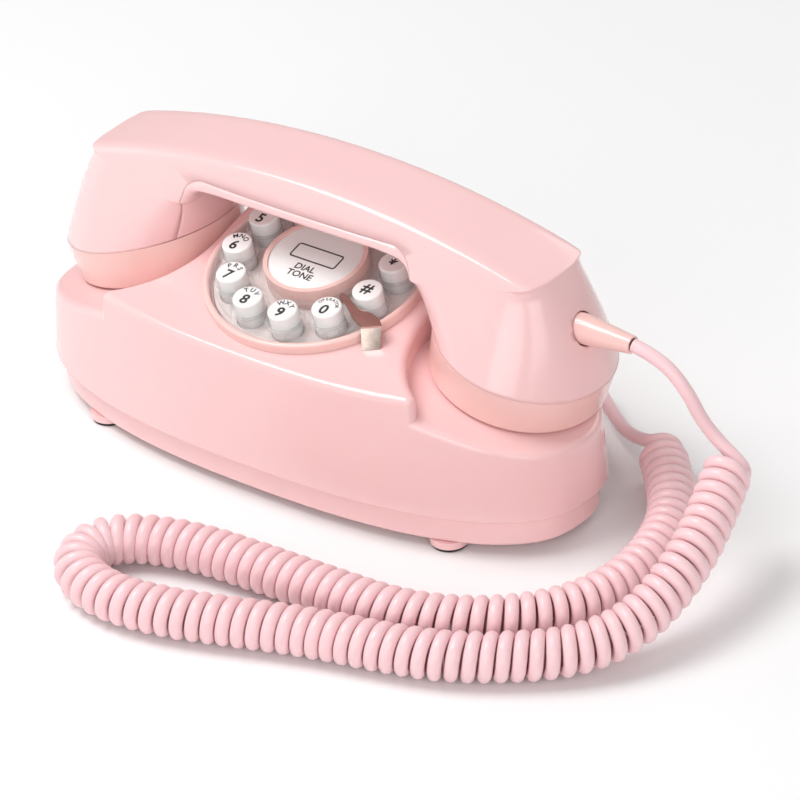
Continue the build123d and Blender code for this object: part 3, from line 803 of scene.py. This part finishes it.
def wellTree():
    # rounded rims standing on a ring of points
    tree = bpy.data.node_groups.new("wellRims", "GeometryNodeTree")
    sockets = {}
    tree.interface.new_socket(name="Geometry", in_out="OUTPUT", socket_type="NodeSocketGeometry")
    for name, kind in (("Count", "NodeSocketInt"), ("Circle", "NodeSocketFloat"),
                       ("Rim radius", "NodeSocketFloat"), ("Rounding", "NodeSocketFloat"),
                       ("First angle", "NodeSocketFloat")):
        sockets[name] = tree.interface.new_socket(name=name, in_out="INPUT", socket_type=kind).identifier
    entry = tree.nodes.new("NodeGroupInput")
    leave = tree.nodes.new("NodeGroupOutput")
    ring = tree.nodes.new("GeometryNodeMeshCircle")
    turnIt = tree.nodes.new("GeometryNodeTransform")
    angle = tree.nodes.new("ShaderNodeCombineXYZ")
    path = tree.nodes.new("GeometryNodeCurvePrimitiveCircle")
    path.inputs["Resolution"].default_value = dial["rimFaces"]
    profile = tree.nodes.new("GeometryNodeCurvePrimitiveCircle")
    profile.inputs["Resolution"].default_value = dial["rimProfileFaces"]
    rim = tree.nodes.new("GeometryNodeCurveToMesh")
    spots = tree.nodes.new("GeometryNodeInstanceOnPoints")
    real = tree.nodes.new("GeometryNodeRealizeInstances")
    coat = tree.nodes.new("GeometryNodeSetMaterial")
    coat.inputs["Material"].default_value = clear
    links = tree.links
    links.new(entry.outputs["Count"], ring.inputs["Vertices"])
    links.new(entry.outputs["Circle"], ring.inputs["Radius"])
    links.new(entry.outputs["First angle"], angle.inputs["Z"])
    links.new(ring.outputs["Mesh"], turnIt.inputs["Geometry"])
    links.new(angle.outputs["Vector"], turnIt.inputs["Rotation"])
    links.new(entry.outputs["Rim radius"], path.inputs["Radius"])
    links.new(entry.outputs["Rounding"], profile.inputs["Radius"])
    links.new(path.outputs["Curve"], rim.inputs["Curve"])
    links.new(profile.outputs["Curve"], rim.inputs["Profile Curve"])
    links.new(turnIt.outputs["Geometry"], spots.inputs["Points"])
    links.new(rim.outputs["Mesh"], spots.inputs["Instance"])
    links.new(spots.outputs["Instances"], real.inputs["Geometry"])
    links.new(real.outputs["Geometry"], coat.inputs["Geometry"])
    links.new(coat.outputs["Geometry"], leave.inputs[0])
    return tree, sockets


def addWellRims():
    tree, sockets = wellTree()
    obj = linked("wellRims", bpy.data.meshes.new("wellRims"))
    made = obj.modifiers.new("rims", "NODES")
    made.node_group = tree
    made[sockets["Count"]] = len(dial["letters"])
    made[sockets["Circle"]] = dial["keyCircle"] * mm
    made[sockets["Rim radius"]] = dial["wellRadius"] * mm
    made[sockets["Rounding"]] = dial["wellRound"] * mm
    made[sockets["First angle"]] = math.radians(dial["firstKey"])
    applied(obj)
    obj.data.transform(dialFrame @ Matrix.Translation((0, 0, dial["wellTop"] * mm)))
    finishMesh(obj)
    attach(obj, "base")


addLegends()
addCardPrint()
addWellRims()
print("dial finished")

finishes = {
    "mouthpiece_cap": capPink, "earpiece_cap": capPink, "cord_boot": capPink, "dial_bezel": dialPink,
    "hub_ring": dialPink, "dial_faceplate": underPink, "clear_plate": clear, "card_window": windowClear,
    "number_card": card, "finger_stop": polished, "foot_pads": rubber, "key_membrane": membrane,
    "keypad_frame": innerPlastic, "hook_switches": innerPlastic, "line_socket": innerPlastic,
    "handset_socket": innerPlastic, "ringer_switch": innerPlastic, "ringer": innerPlastic,
    "keypad_board": board, "main_board": board, "pan_screws": screwSteel, "board_screws": screwSteel,
    "handset_screws": screwSteel, "base_weight": iron, "handset_weight": iron,
    "receiver_capsule": aluminium, "microphone_capsule": aluminium, "cord_plug": clear,
    "hook_plunger_left": white, "hook_plunger_right": white,
}
for name, node in nodes.items():
    isKey = name.startswith("key_") and name != "key_membrane"
    finish = white if isKey else finishes.get(name, pink)
    node.data.materials.clear()
    node.data.materials.append(finish)
print("finishes set")
